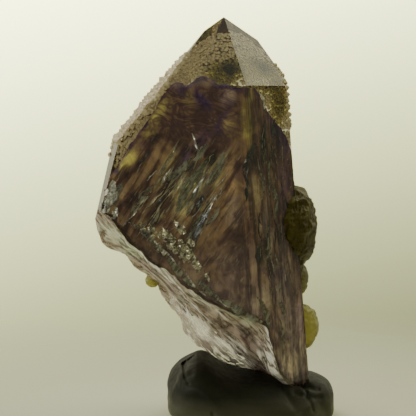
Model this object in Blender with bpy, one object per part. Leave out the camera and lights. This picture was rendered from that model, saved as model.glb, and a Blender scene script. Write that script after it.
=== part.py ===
"""Amethyst crystal, tip up, standing in a lump of dark mounting putty.

Metres, +Z up. The origin is under the middle of the putty, on the surface that it stands on. +X is to the
right and -Y to the front of the crystal's best side. The crystal is one solid with natural flat faces, a
hackly break at its foot and a crust of small quartz points on its back. Prehnite grows on its right flank.
"""

import math
import random

import bmesh
import bpy
from mathutils import Matrix, Vector, noise

MM = 0.001
GAP = 0.3 * MM  # left between pieces that touch

# The crystal's flat faces. Each is the way it faces (degrees round the axis from the front, to the right),
# its tilt up from level in degrees, and its distance in mm from the crystal's middle.
MIDDLE = Vector((-8.0, 0.0, 36.0)) * MM
PRISM_FACES = {
    "prism_front_left": (-18, 1.0, 7.9),
    "prism_front_right": (42, 3.0, 13.3),
    "prism_right_back": (102, 4.5, 14.4),
    "prism_back": (162, 3.0, 10.5),
    "prism_back_left": (-138, 3.0, 13.1),
    "prism_left": (-78, 14.0, 16.8),
}
TIP_FACES = {
    "tip_front_left": (-18, 31.7, 17.2),
    "tip_front_right": (42, 37.1, 22.2),
    "tip_left": (-78, 37.7, 18.4),
    "tip_right_back": (102, 31.0, 22.3),
    "tip_back": (162, 38.2, 19.6),
    "tip_back_left": (-138, 38.2, 17.2),
}
FACES = {**PRISM_FACES, **TIP_FACES}
BLANK_SIZE = 160 * MM

# The break runs from the left corner down to the foot. In its own frame x goes up the slope, y goes into the
# crystal's depth and z points out of it. Its swells and hollows are (x, y, reach along x, height) in mm.
BREAK_FACING = (-64, -44)
BREAK_DISTANCE = 12.3 * MM
BREAK_MIDDLE = (-10 * MM, 6.5 * MM)
BREAK_LENGTH, BREAK_DEPTH = 56 * MM, 40 * MM
BREAK_STEPS, BREAK_ROWS = 52, 34
CORNER_SWELL = (9.0, 5.0, 4.5, 1.5)
BELLY_SWELL = (-17.5, 9.0, 6.0, 2.2)
BACK_HOLLOW = (-9.0, 9.0, 3.6, -0.8)
FRONT_HOLLOW = (-20.4, -3.0, 5.2, -3.3)
SWELL_EDGE = 4.0  # mm over which they rise, across the break
SHELL_SIZE, SHELL_DEPTH = 6.0 * MM, 2.0 * MM
SPLINTER_SIZE, SPLINTER_DEPTH = 2.4 * MM, 1.1 * MM
GRAIN_STRETCH = 2.1  # shells and splinters are this much longer up the slope than across it
RIM_HEIGHT = 0.45  # height of the mean surface between a shell's floor and its rim, as a share of its depth
FOOT_FACING, FOOT_DISTANCE = (10, -80), 31.6 * MM

# Small quartz points that crowd on the back: how far apart they stand, how wide and how tall they are. They
# are largest along the left shoulder. Their upper limit falls away to both sides of its highest point, and
# their lower limit rises to both sides of its lowest. The tip's back faces are bare round the apex.
DRUSE_FACES = (
    "tip_left",
    "tip_back_left",
    "tip_back",
    "tip_right_back",
    "prism_back_left",
    "prism_back",
    "prism_right_back",
)
DRUSE_SPACING = 1.5 * MM
DRUSE_RADIUS = (0.95 * MM, 1.4 * MM)
DRUSE_HEIGHT = (0.3 * MM, 0.6 * MM)
DRUSE_ROOT = 0.5 * MM
DRUSE_LEAN = 16  # degrees
DRUSE_TRIES = 3.0  # for each square mm
DRUSE_CLEARANCE = 1.6 * MM
DRUSE_RAGGED, DRUSE_RAGGED_PITCH, DRUSE_RAGGED_TOP = 4 * MM, 7 * MM, 0.2
DRUSE_TOP, DRUSE_TOP_SLOPES = (-3.7 * MM, 65.4 * MM), (0.35, 0.88)
DRUSE_BOTTOM, DRUSE_BOTTOM_SLOPE = (-12 * MM, 38 * MM), 0.6
BARE_FACES = ("tip_back_left", "tip_back", "tip_right_back")
APEX, BARE_REACH = (-4.4, 0.0, 68.0), 4.5 * MM
SHOULDER, SHOULDER_REACH, SHOULDER_GROWTH = (-17.0, 3.0, 56.0), 8 * MM, 0.5

# Prehnite lumps: middle and radii in mm. Those on the crystal's right flank have grown together.
FLANK_LUMPS = {
    "ball": ((6.9, -0.6, 33.4), (4.6, 5.6, 6.6)),
    "skirt": ((7.6, 0.6, 30.3), (3.6, 5.0, 4.2)),
    "crest": ((5.7, 1.0, 41.0), (1.7, 3.0, 5.2)),
    "bud": ((7.4, 0.2, 24.0), (2.6, 3.3, 3.4)),
    "shoulder": ((6.0, 5.6, 29.5), (3.9, 4.2, 4.6)),
    "collar": ((5.4, 4.0, 38.6), (2.6, 3.6, 4.2)),
    "neck": ((6.3, 3.6, 26.2), (2.4, 3.6, 4.4)),
}
NODULE = ((9.1, 0.2, 15.8), (2.7, 2.9, 3.8))
SPECK = ((-17.0, 9.7, 22.5), (1.3, 1.2, 1.3))
RIDGE_DEPTH, SWELL_DEPTH = 0.11, 0.07  # shares of a lump's radius
RIDGE_PITCH, SWELL_PITCH = Vector((2.1, 2.1, 5.5)), 1.7  # waves over a lump's radius

# The putty lump: half width and half depth, and its top edge from left to right, as x and height in mm.
PUTTY_HALF_WIDTH, PUTTY_HALF_DEPTH = 14.2 * MM, 14.4 * MM
PUTTY_TOP = (
    (-14.2, 11.0),
    (-13.2, 11.6),
    (-11.0, 11.7),
    (-9.0, 12.2),
    (-7.8, 12.0),
    (-6.8, 10.7),
    (-5.6, 9.4),
    (-3.7, 8.4),
    (-1.7, 7.9),
    (2.4, 7.5),
    (6.6, 7.2),
    (8.6, 7.7),
    (10.6, 8.6),
    (12.0, 9.3),
    (14.2, 9.3),
)
PUTTY_SOLE_Z = -2.6 * MM  # the lump is pressed this far past the surface and cut off flat there
PUTTY_SQUARENESS = 0.78
PUTTY_ROUNDING = 1.4 * MM
DENT_DEPTH, DENT_PITCH = 0.05, 2.3  # share of the lump's half width, and waves over it
SEAT_GAP = 0.5 * MM


def clear_scene():
    for obj in list(bpy.data.objects):
        bpy.data.objects.remove(obj)


def mm(triple):
    return Vector(triple) * MM


def facing(turn, tilt):
    """The outward normal of a face, from its turn round the axis and its tilt up."""
    a, e = math.radians(turn), math.radians(tilt)
    return Vector((math.sin(a) * math.cos(e), -math.cos(a) * math.cos(e), math.sin(e)))


def material(name, colour, roughness, clear=0.0):
    made = bpy.data.materials.new(name)
    made.use_nodes = True
    shader = made.node_tree.nodes["Principled BSDF"]
    shader.inputs["Base Color"].default_value = (*colour, 1.0)
    shader.inputs["Roughness"].default_value = roughness
    shader.inputs["Metallic"].default_value = 0.0
    shader.inputs["Transmission Weight"].default_value = clear
    return made


def object_of(name, bm, finish=None):
    """A new object with this bmesh, at the origin."""
    mesh = bpy.data.meshes.new(name)
    bm.to_mesh(mesh)
    bm.free()
    obj = bpy.data.objects.new(name, mesh)
    bpy.context.scene.collection.objects.link(obj)
    if finish:
        mesh.materials.append(finish)
    return obj


def smooth(obj):
    """Rounded surfaces shaded smooth, with their creases kept."""
    obj.data.shade_smooth()
    obj.data.set_sharp_from_angle(angle=math.radians(40))
    return obj


def as_cutter(obj):
    obj.hide_render = True
    obj.display_type = "WIRE"
    return obj


def combine(obj, other, operation):
    """A Boolean with the EXACT solver. A union also joins those pieces of other that cross each other."""
    step = obj.modifiers.new(f"{operation.lower()}_{other.name}", "BOOLEAN")
    step.operation = operation
    step.object = other
    step.solver = "EXACT"
    step.use_self = operation == "UNION"


def cut_flat(bm, normal, point):
    """Cuts off everything outside a plane and closes the cut with one face."""
    cut = bmesh.ops.bisect_plane(
        bm, geom=bm.verts[:] + bm.edges[:] + bm.faces[:], plane_co=point, plane_no=normal, clear_outer=True
    )
    rim = [g for g in cut["geom_cut"] if isinstance(g, bmesh.types.BMEdge)]
    if rim:
        bmesh.ops.edgenet_fill(bm, edges=rim)


def crystal_blank(grow=0.0):
    """The whole crystal as it grew: six prism faces and six tip faces, cut from a block, and its foot."""
    bm = bmesh.new()
    bmesh.ops.create_cube(bm, size=BLANK_SIZE)
    bmesh.ops.translate(bm, vec=MIDDLE, verts=bm.verts)
    for turn, tilt, distance in FACES.values():
        normal = facing(turn, tilt)
        cut_flat(bm, normal, MIDDLE + normal * (distance * MM + grow))
    foot = facing(*FOOT_FACING)
    cut_flat(bm, foot, MIDDLE + foot * (FOOT_DISTANCE + grow))
    bmesh.ops.recalc_face_normals(bm, faces=bm.faces)
    return bm


def break_frame(grow=0.0):
    """The matrix of the break: x up the slope, y into the crystal's depth, z out of it."""
    out = facing(*BREAK_FACING)
    up = Vector((0, 1, 0)).cross(out).normalized()
    deep = out.cross(up)
    turn = Matrix((up, deep, out)).transposed().to_4x4()
    return Matrix.Translation(MIDDLE + out * (BREAK_DISTANCE + grow)) @ turn


def ramp(t):
    t = min(max(t, 0.0), 1.0)
    return t * t * (3 - 2 * t)


def swell(x, y, form, towards_back=True):
    """A swell or a hollow of the break, on the back or on the front side of its own y."""
    at_x, at_y, reach, height = form
    across = ramp(0.5 + (y / MM - at_y) / (2 * SWELL_EDGE))
    share = across if towards_back else 1 - across
    return height * MM * share * math.exp(-(((x / MM - at_x) / reach) ** 2))


def shells(x, y, size, seed):
    """0 at the floor of each shell-shaped hollow, rising to the sharp ridges where two hollows meet."""
    distances, _ = noise.voronoi(Vector((x / (GRAIN_STRETCH * size), y / size, seed)))
    return min(distances[0], 1.0)


def break_height(x, y):
    """How far the broken surface stands out from its mean plane."""
    form = sum(swell(x, y, shape) for shape in (CORNER_SWELL, BELLY_SWELL, BACK_HOLLOW))
    form += swell(x, y, FRONT_HOLLOW, towards_back=False)
    large = SHELL_DEPTH * (shells(x, y, SHELL_SIZE, 3.7) - RIM_HEIGHT)
    small = SPLINTER_DEPTH * (shells(x, y, SPLINTER_SIZE, 9.1) - RIM_HEIGHT)
    return form + large + small


def break_cutter(name, grow=0.0):
    """A block whose inner side is the hackly broken surface."""
    bm = bmesh.new()
    bmesh.ops.create_grid(bm, x_segments=BREAK_STEPS, y_segments=BREAK_ROWS, size=0.5)
    for v in bm.verts:
        v.co.x = BREAK_MIDDLE[0] + v.co.x * BREAK_LENGTH
        v.co.y = BREAK_MIDDLE[1] + v.co.y * BREAK_DEPTH
        v.co.z = break_height(v.co.x, v.co.y)
    block = bmesh.ops.extrude_face_region(bm, geom=bm.faces[:])
    outer = [g for g in block["geom"] if isinstance(g, bmesh.types.BMVert)]
    bmesh.ops.translate(bm, vec=(0, 0, BREAK_LENGTH), verts=outer)
    bmesh.ops.transform(bm, matrix=break_frame(grow), verts=bm.verts)
    bmesh.ops.recalc_face_normals(bm, faces=bm.faces)
    return as_cutter(object_of(name, bm))


def spot_on(face, dice):
    """A random point of a flat face, every part of it equally likely."""
    corners = [v.co for v in face.verts]
    fans = [(corners[0], corners[i], corners[i + 1]) for i in range(1, len(corners) - 1)]
    sizes = [(b - a).cross(c - a).length for a, b, c in fans]
    a, b, c = dice.choices(fans, sizes)[0]
    u, v = dice.random(), dice.random()
    if u + v > 1:
        u, v = 1 - u, 1 - v
    return a + (b - a) * u + (c - a) * v


def wears_druse(point, name, from_break):
    """True between a ragged line and the clean tip, clear of the prehnite and of the break."""
    if name in BARE_FACES and (point - mm(APEX)).length < BARE_REACH:
        return False
    for middle, radii in FLANK_LUMPS.values():
        away = point - mm(middle)
        if Vector(a / (r * MM + DRUSE_CLEARANCE) for a, r in zip(away, radii)).length < 1:
            return False
    if (from_break @ point).z > -DRUSE_CLEARANCE:
        return False
    ragged = DRUSE_RAGGED * noise.noise(point / DRUSE_RAGGED_PITCH)
    aside = point.x - DRUSE_TOP[0]
    highest = DRUSE_TOP[1] + min(DRUSE_TOP_SLOPES[0] * aside, -DRUSE_TOP_SLOPES[1] * aside)
    lowest = DRUSE_BOTTOM[1] + DRUSE_BOTTOM_SLOPE * abs(point.x - DRUSE_BOTTOM[0])
    return lowest + ragged < point.z < highest + DRUSE_RAGGED_TOP * ragged


def druse_points(blank):
    """Small six-sided points, each rooted in a face of the blank, in one mesh."""
    dice = random.Random(7)
    bm = bmesh.new()
    from_break = break_frame().inverted()
    taken = []
    for name in DRUSE_FACES:
        normal = facing(*FACES[name][:2])
        face = max(blank.faces, key=lambda f: f.normal.dot(normal))
        upright = normal.to_track_quat("Z", "Y").to_matrix().to_4x4()
        for _ in range(int(DRUSE_TRIES * face.calc_area() / (MM * MM))):
            point = spot_on(face, dice)
            near_shoulder = math.exp(-(((point - mm(SHOULDER)).length / SHOULDER_REACH) ** 2))
            size = 1 + SHOULDER_GROWTH * near_shoulder
            crowded = any((point - p).length < DRUSE_SPACING * math.sqrt(size) for p in taken)
            if crowded or not wears_druse(point, name, from_break):
                continue
            taken.append(point)
            lean = Matrix.Rotation(math.radians(dice.uniform(-DRUSE_LEAN, DRUSE_LEAN)), 4, "X")
            turn = Matrix.Rotation(dice.uniform(0, math.tau), 4, "Z")
            height = size * dice.uniform(*DRUSE_HEIGHT)
            stand = Matrix.Translation(point + normal * 0.5 * (height - DRUSE_ROOT))
            bmesh.ops.create_cone(
                bm,
                cap_ends=True,
                segments=6,
                radius1=size * dice.uniform(*DRUSE_RADIUS),
                radius2=0.0,
                depth=height + DRUSE_ROOT,
                matrix=stand @ upright @ lean @ turn,
            )
    return as_cutter(object_of("druse_points", bm))


def amethyst(finish):
    """The crystal: the grown blank, less its break, with its druse."""
    blank = crystal_blank()
    druse = druse_points(blank)
    crystal = object_of("crystal", blank, finish)
    combine(crystal, break_cutter("break_cutter"), "DIFFERENCE")
    combine(crystal, druse, "UNION")


def crystal_room(name, grow):
    """The crystal without its druse, every face moved out by grow."""
    room = object_of(name, crystal_blank(grow))
    combine(room, break_cutter(f"{name}_break", grow), "DIFFERENCE")
    return as_cutter(room)


def lump(name, middle, radii, seed, detail):
    """A prehnite lump: a ball with low curved ridges, like the edges of stacked plates."""
    bm = bmesh.new()
    bmesh.ops.create_icosphere(bm, subdivisions=detail, radius=1.0)
    for v in bm.verts:
        out = v.co.normalized()
        ridges = abs(noise.noise(out * RIDGE_PITCH + Vector((seed, 0, 0))))
        swells = noise.noise(SWELL_PITCH * out + Vector((0, seed, 0)))
        v.co = out * (1 + SWELL_DEPTH * swells - RIDGE_DEPTH * ridges)
    bmesh.ops.transform(bm, matrix=Matrix.LocRotScale(mm(middle), None, mm(radii)), verts=bm.verts)
    return object_of(name, bm)


def prehnite(finish, room):
    """The cluster on the flank, the angular nodule below it and the speck at the back of the break."""
    cluster, *others = [
        smooth(lump(f"prehnite_{name}", middle, radii, 3.0 * number, detail=4 if name == "ball" else 3))
        for number, (name, (middle, radii)) in enumerate(FLANK_LUMPS.items())
    ]
    cluster.name = "prehnite_cluster"
    for other in others:
        combine(cluster, as_cutter(other), "UNION")
    nodule = lump("prehnite_nodule", *NODULE, 21.0, detail=2)
    speck = lump("prehnite_speck", *SPECK, 33.0, detail=2)
    for piece in (cluster, nodule, speck):
        combine(piece, room, "DIFFERENCE")
        piece.data.materials.append(finish)


def line_height(x, points):
    """The height at x of a line through points, which are in mm."""
    x = min(max(x / MM, points[0][0]), points[-1][0])
    for (x0, z0), (x1, z1) in zip(points, points[1:]):
        if x <= x1:
            return (z0 + (z1 - z0) * (x - x0) / (x1 - x0)) * MM
    return points[-1][1] * MM


def putty_height(x):
    """The height of the putty's top edge at x, with the corners of its line rounded off."""
    steps = range(-2, 3)
    return sum(line_height(x + 0.5 * step * PUTTY_ROUNDING, PUTTY_TOP) for step in steps) / len(steps)


def rounded(value):
    """Squares a ball's coordinate a little, so that the lump has full sides."""
    return math.copysign(abs(value) ** PUTTY_SQUARENESS, value)


def putty(finish, seat):
    """A kneaded lump with a flat sole, and a seat pressed into it by the crystal's foot."""
    bm = bmesh.new()
    bmesh.ops.create_icosphere(bm, subdivisions=4, radius=1.0)
    for v in bm.verts:
        x = rounded(v.co.x) * PUTTY_HALF_WIDTH
        y = rounded(v.co.y) * PUTTY_HALF_DEPTH
        top = putty_height(x)
        middle = 0.5 * (top + PUTTY_SOLE_Z)
        dents = 1 + DENT_DEPTH * noise.noise(DENT_PITCH * v.co)
        v.co = Vector((x * dents, y * dents, middle + rounded(v.co.z) * (top - middle)))
    cut_flat(bm, Vector((0, 0, -1)), Vector((0, 0, 0)))
    bmesh.ops.recalc_face_normals(bm, faces=bm.faces)
    combine(smooth(object_of("putty", bm, finish)), seat, "DIFFERENCE")


def main():
    clear_scene()
    quartz = material("amethyst", (0.36, 0.26, 0.27), 0.05, clear=0.9)
    green = material("prehnite", (0.42, 0.43, 0.16), 0.35, clear=0.3)
    dark = material("putty", (0.035, 0.038, 0.03), 0.55)
    amethyst(quartz)
    prehnite(green, crystal_room("prehnite_room", GAP))
    putty(dark, crystal_room("putty_seat", SEAT_GAP))


main()
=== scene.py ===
"""The looks of an amethyst crystal with prehnite, standing in mounting putty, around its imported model."""

import math
import random

import bmesh
import bpy
from mathutils import Matrix, Vector, noise


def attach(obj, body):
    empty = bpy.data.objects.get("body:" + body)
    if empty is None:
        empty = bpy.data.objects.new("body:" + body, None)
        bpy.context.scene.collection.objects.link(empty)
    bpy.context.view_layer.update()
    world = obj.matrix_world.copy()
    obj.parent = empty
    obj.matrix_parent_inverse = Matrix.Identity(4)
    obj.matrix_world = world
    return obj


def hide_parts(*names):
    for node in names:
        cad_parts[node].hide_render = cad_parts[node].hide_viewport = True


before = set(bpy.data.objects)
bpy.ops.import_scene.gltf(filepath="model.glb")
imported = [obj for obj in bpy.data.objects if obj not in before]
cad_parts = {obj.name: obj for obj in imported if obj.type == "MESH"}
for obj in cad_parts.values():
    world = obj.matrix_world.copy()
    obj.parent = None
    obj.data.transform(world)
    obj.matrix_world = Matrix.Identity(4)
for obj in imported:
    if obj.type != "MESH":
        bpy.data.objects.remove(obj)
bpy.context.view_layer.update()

# The camera stands in front of the crystal's best side and looks down on it a little, through a long lens.
# Lengths are in metres, or in mm where they are multiplied by MM.
MM = 0.001
VIEW_MIDDLE = Vector((-7.14, 0.0, 36.04)) * MM
VIEW_HEIGHT = 70.72 * MM  # what the picture takes in, at the crystal
VIEW_TILT = math.radians(4)
LENS, SENSOR = 120.0, 36.0

camera = bpy.data.objects.new("camera", bpy.data.cameras.new("camera"))
camera.data.lens = LENS
camera.data.sensor_width = SENSOR
camera.data.clip_start = 0.01
away = Vector((0, -math.cos(VIEW_TILT), math.sin(VIEW_TILT)))
camera.location = VIEW_MIDDLE + away * (VIEW_HEIGHT * LENS / SENSOR)
camera.rotation_euler = (-away).to_track_quat("-Z", "Y").to_euler()
bpy.context.scene.collection.objects.link(camera)
bpy.context.scene.camera = camera

# The crystal itself: one clear quartz solid, as it grew, with flat prism and tip faces. Each face is the way
# it looks (degrees round the axis from the front, to the right), its tilt up and its distance in mm.
MIDDLE = Vector((-8.0, 0.0, 36.0)) * MM
FACES = {
    "prism_front_left": (-18, 1.0, 7.9),
    "prism_front_right": (42, 3.0, 13.3),
    "prism_right_back": (102, 4.5, 14.4),
    "prism_back": (162, 3.0, 10.5),
    "prism_back_left": (-138, 3.0, 13.1),
    "prism_left": (-78, 14.0, 16.8),
    "tip_front_left": (-18, 31.7, 17.2),
    "tip_front_right": (42, 37.1, 22.2),
    "tip_left": (-78, 37.7, 18.4),
    "tip_right_back": (102, 31.0, 22.3),
    "tip_back": (162, 38.2, 19.6),
    "tip_back_left": (-138, 38.2, 17.2),
    "foot": (10, -80, 31.6),
}
BLOCK_SIZE = 160 * MM
FACE_EDGE, FINE_EDGE = 28, 50  # edges are sharp from these angles on, in degrees


def mm(triple):
    return Vector(triple) * MM


def facing(turn, tilt):
    """The outward normal of a face, from its turn round the axis and its tilt up."""
    a, e = math.radians(turn), math.radians(tilt)
    return Vector((math.sin(a) * math.cos(e), -math.cos(a) * math.cos(e), math.sin(e)))


def object_of(name, bm, finish=None):
    """A new object with this bmesh, at the origin."""
    mesh = bpy.data.meshes.new(name)
    bm.to_mesh(mesh)
    bm.free()
    made = bpy.data.objects.new(name, mesh)
    bpy.context.scene.collection.objects.link(made)
    if finish:
        mesh.materials.append(finish)
    return made


def dress(piece, finish, edge=None):
    """One material all over, and smooth but for the edges that are sharper than edge."""
    piece.data.materials.clear()
    piece.data.materials.append(finish)
    piece.data.shade_smooth()
    if edge:
        piece.data.set_sharp_from_angle(angle=math.radians(edge))


def cut_flat(bm, normal, point):
    """Cuts off everything outside a plane and closes the cut with one face."""
    cut = bmesh.ops.bisect_plane(
        bm, geom=bm.verts[:] + bm.edges[:] + bm.faces[:], plane_co=point, plane_no=normal, clear_outer=True
    )
    rim = [g for g in cut["geom_cut"] if isinstance(g, bmesh.types.BMEdge)]
    if rim:
        bmesh.ops.edgenet_fill(bm, edges=rim)


def grown_crystal(grow=0.0, others=()):
    """The whole crystal from its flat faces, each moved out by grow, or by what others gives for it."""
    bm = bmesh.new()
    bmesh.ops.create_cube(bm, size=BLOCK_SIZE)
    bmesh.ops.translate(bm, vec=MIDDLE, verts=bm.verts)
    for name, (turn, tilt, distance) in FACES.items():
        normal = facing(turn, tilt)
        cut_flat(bm, normal, MIDDLE + normal * (distance * MM + dict(others).get(name, grow)))
    bmesh.ops.recalc_face_normals(bm, faces=bm.faces)
    return bm


def combine(piece, others, operation):
    """Cuts closed shapes off a piece, or joins them to it, settles the result and removes the others."""
    for other in others:
        step = piece.modifiers.new(other.name, "BOOLEAN")
        step.operation = operation
        step.object = other
        step.solver = "MANIFOLD"
    seen = piece.evaluated_get(bpy.context.evaluated_depsgraph_get())
    mesh = bpy.data.meshes.new_from_object(seen)
    piece.modifiers.clear()
    piece.data = mesh
    for other in others:
        bpy.data.objects.remove(other)
    return piece


# The break: the crystal came off its rock at the lower left. The broken quartz is hackly, in shell-shaped
# hollows with sharp rims. In its own frame x goes up the slope, y into the crystal and z out of it.
BREAK_FACING, BREAK_DISTANCE = (-64, -44), 12.3 * MM
BREAK_MIDDLE, BREAK_LENGTH, BREAK_DEPTH = (-10 * MM, 6.5 * MM), 56 * MM, 40 * MM
BREAK_STEPS, BREAK_ROWS = 190, 136
CORNER_SWELL = (9.0, 5.0, 4.5, 1.5)  # x, y, reach along x and height, in mm
BELLY_SWELL = (-17.5, 9.0, 6.0, 2.2)
BACK_HOLLOW = (-9.0, 9.0, 3.6, -0.8)
FRONT_HOLLOW = (-20.4, -3.0, 5.2, -3.3)
SWELL_EDGE = 4.0
SHELLS = ((6.0, 2.0, 3.7), (2.4, 1.1, 9.1))  # size and depth in mm, and seed
CHIPS = ((0.95, 0.34, 5.3), (0.42, 0.12, 2.2))
GRAIN_STRETCH, RIM_HEIGHT = 2.1, 0.45
RIPPLE_HEIGHT, RIPPLE_PITCH = 0.05 * MM, 0.55 * MM


def ramp(t):
    t = min(max(t, 0.0), 1.0)
    return t * t * (3 - 2 * t)


def break_frame(grow=0.0):
    out = facing(*BREAK_FACING)
    up = Vector((0, 1, 0)).cross(out).normalized()
    turn = Matrix((up, out.cross(up), out)).transposed().to_4x4()
    return Matrix.Translation(MIDDLE + out * (BREAK_DISTANCE + grow)) @ turn


def swell(x, y, form, towards_back=True):
    """A swelling or a hollow of the broken surface, towards its back or towards its front."""
    at_x, at_y, reach, height = form
    across = ramp(0.5 + (y / MM - at_y) / (2 * SWELL_EDGE))
    share = across if towards_back else 1 - across
    return height * MM * share * math.exp(-(((x / MM - at_x) / reach) ** 2))


def shells(x, y, size, seed):
    """0 at the floor of each shell-shaped hollow, rising to the sharp ridges where two hollows meet."""
    distances, _ = noise.voronoi(Vector((x / (GRAIN_STRETCH * size * MM), y / (size * MM), seed)))
    return min(distances[0], 1.0)


def break_height(x, y, chips=CHIPS):
    """How far the broken surface stands out from its mean plane."""
    height = sum(swell(x, y, form) for form in (CORNER_SWELL, BELLY_SWELL, BACK_HOLLOW))
    height += swell(x, y, FRONT_HOLLOW, towards_back=False)
    for size, depth, seed in SHELLS + chips:
        height += depth * MM * (shells(x, y, size, seed) - RIM_HEIGHT)
    if chips:
        ring = shells(x, y, SHELLS[0][0], SHELLS[0][2]) * SHELLS[0][0] * MM
        height += RIPPLE_HEIGHT * math.sin(math.tau * ring / RIPPLE_PITCH)
    return height


def raise_block(bm, z):
    """Makes a block of a sheet, up to the height z."""
    for made in bmesh.ops.extrude_face_region(bm, geom=bm.faces[:])["geom"]:
        if isinstance(made, bmesh.types.BMVert):
            made.co.z = z


def carved_block():
    """A block whose inner side is the hackly broken surface."""
    bm = bmesh.new()
    bmesh.ops.create_grid(bm, x_segments=BREAK_STEPS, y_segments=BREAK_ROWS, size=0.5)
    for v in bm.verts:
        v.co.x = BREAK_MIDDLE[0] + v.co.x * BREAK_LENGTH
        v.co.y = BREAK_MIDDLE[1] + v.co.y * BREAK_DEPTH
        v.co.z = break_height(v.co.x, v.co.y)
    raise_block(bm, BREAK_LENGTH)
    bmesh.ops.transform(bm, matrix=break_frame(), verts=bm.verts)
    bmesh.ops.recalc_face_normals(bm, faces=bm.faces)
    return object_of("break_block", bm)


carved = carved_block()


def break_block(name, grow=0.0):
    """A copy of the block, moved out of the crystal by grow."""
    block = bpy.data.objects.new(name, carved.data.copy())
    block.data.transform(Matrix.Translation(facing(*BREAK_FACING) * grow))
    bpy.context.scene.collection.objects.link(block)
    return block


# The druse: a crust of small six-sided quartz points that grew over the back and the left shoulder. They
# crowd each other, and lean a little from the face that they grow from. Some iron colours them beige.
DRUSE_FACES = (
    "tip_left",
    "tip_back_left",
    "tip_back",
    "tip_right_back",
    "prism_back_left",
    "prism_back",
    "prism_right_back",
)
DRUSE_SPACING = 0.52 * MM
DRUSE_RADIUS = (0.36 * MM, 0.52 * MM)
DRUSE_HEIGHT = (0.08 * MM, 0.32 * MM)  # of the column, above its face
DRUSE_TIP, DRUSE_TAPER, DRUSE_SKEW = 0.65, 0.9, 0.45  # in radii: the pointed part, its foot, and how far off
DRUSE_ROOT, DRUSE_LEAN = 0.4 * MM, 20
DRUSE_TRIES, DRUSE_CELL = 12.0, 2.6  # tries for each square mm, and the crowd's cell in radii
DRUSE_CLEARANCE = 1.3 * MM
DRUSE_RAGGED, DRUSE_RAGGED_PITCH, DRUSE_RAGGED_TOP = 4 * MM, 7 * MM, 0.2
DRUSE_TOP, DRUSE_TOP_SLOPES = (-3.7 * MM, 65.1 * MM), (0.4, 0.6)
DRUSE_BOTTOM, DRUSE_BOTTOM_SLOPE = (-12 * MM, 38 * MM), 0.6
SHOULDER, SHOULDER_REACH, SHOULDER_GROWTH = (-17.0, 3.0, 56.0), 8 * MM, 0.5
BARE_FACES = ("tip_back_left", "tip_back", "tip_right_back")  # clean round the apex
APEX, BARE_REACH = (-4.4, 0.0, 68.0), 4.0 * MM
FLANK_LUMPS = {  # the prehnite that grows on the right flank: middle and radii in mm
    "ball": ((6.9, -0.6, 33.4), (4.6, 5.6, 6.6)),
    "skirt": ((7.6, 0.6, 30.3), (3.6, 5.0, 4.2)),
    "crest": ((5.7, 1.0, 41.0), (1.7, 3.0, 5.2)),
    "bud": ((7.4, 0.2, 24.0), (2.6, 3.3, 3.4)),
    "shoulder": ((6.0, 5.6, 29.5), (3.9, 4.2, 4.6)),
    "collar": ((5.4, 4.0, 38.6), (2.6, 3.6, 4.2)),
    "neck": ((6.3, 3.6, 26.2), (2.4, 3.6, 4.4)),
}


def spot_on(face, dice):
    """A random point of a flat face, every part of it equally likely."""
    corners = [v.co for v in face.verts]
    fans = [(corners[0], corners[i], corners[i + 1]) for i in range(1, len(corners) - 1)]
    a, b, c = dice.choices(fans, [(b - a).cross(c - a).length for a, b, c in fans])[0]
    u, v = dice.random(), dice.random()
    if u + v > 1:
        u, v = 1 - u, 1 - v
    return a + (b - a) * u + (c - a) * v


def wears_druse(point, name, from_break):
    """True between a ragged line and the clean tip, clear of the prehnite and of the break."""
    if name in BARE_FACES and (point - mm(APEX)).length < BARE_REACH:
        return False
    for middle, radii in FLANK_LUMPS.values():
        apart = point - mm(middle)
        if Vector(a / (r * MM + DRUSE_CLEARANCE) for a, r in zip(apart, radii)).length < 1:
            return False
    if (from_break @ point).z > -DRUSE_CLEARANCE:
        return False
    ragged = DRUSE_RAGGED * noise.noise(point / DRUSE_RAGGED_PITCH)
    aside = point.x - DRUSE_TOP[0]
    highest = DRUSE_TOP[1] + min(DRUSE_TOP_SLOPES[0] * aside, -DRUSE_TOP_SLOPES[1] * aside)
    lowest = DRUSE_BOTTOM[1] + DRUSE_BOTTOM_SLOPE * abs(point.x - DRUSE_BOTTOM[0])
    return lowest + ragged < point.z < highest + DRUSE_RAGGED_TOP * ragged


class Crowd:
    """Points on a coarse grid, to find quickly which of them are near a place."""

    def __init__(self, cell):
        self.cell, self.cells = cell, {}

    def key(self, point):
        return tuple(math.floor(c / self.cell) for c in point)

    def add(self, point, item):
        self.cells.setdefault(self.key(point), []).append((point, item))

    def near(self, point):
        x, y, z = self.key(point)
        for i in (x - 1, x, x + 1):
            for j in (y - 1, y, y + 1):
                for k in (z - 1, z, z + 1):
                    yield from self.cells.get((i, j, k), ())


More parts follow.
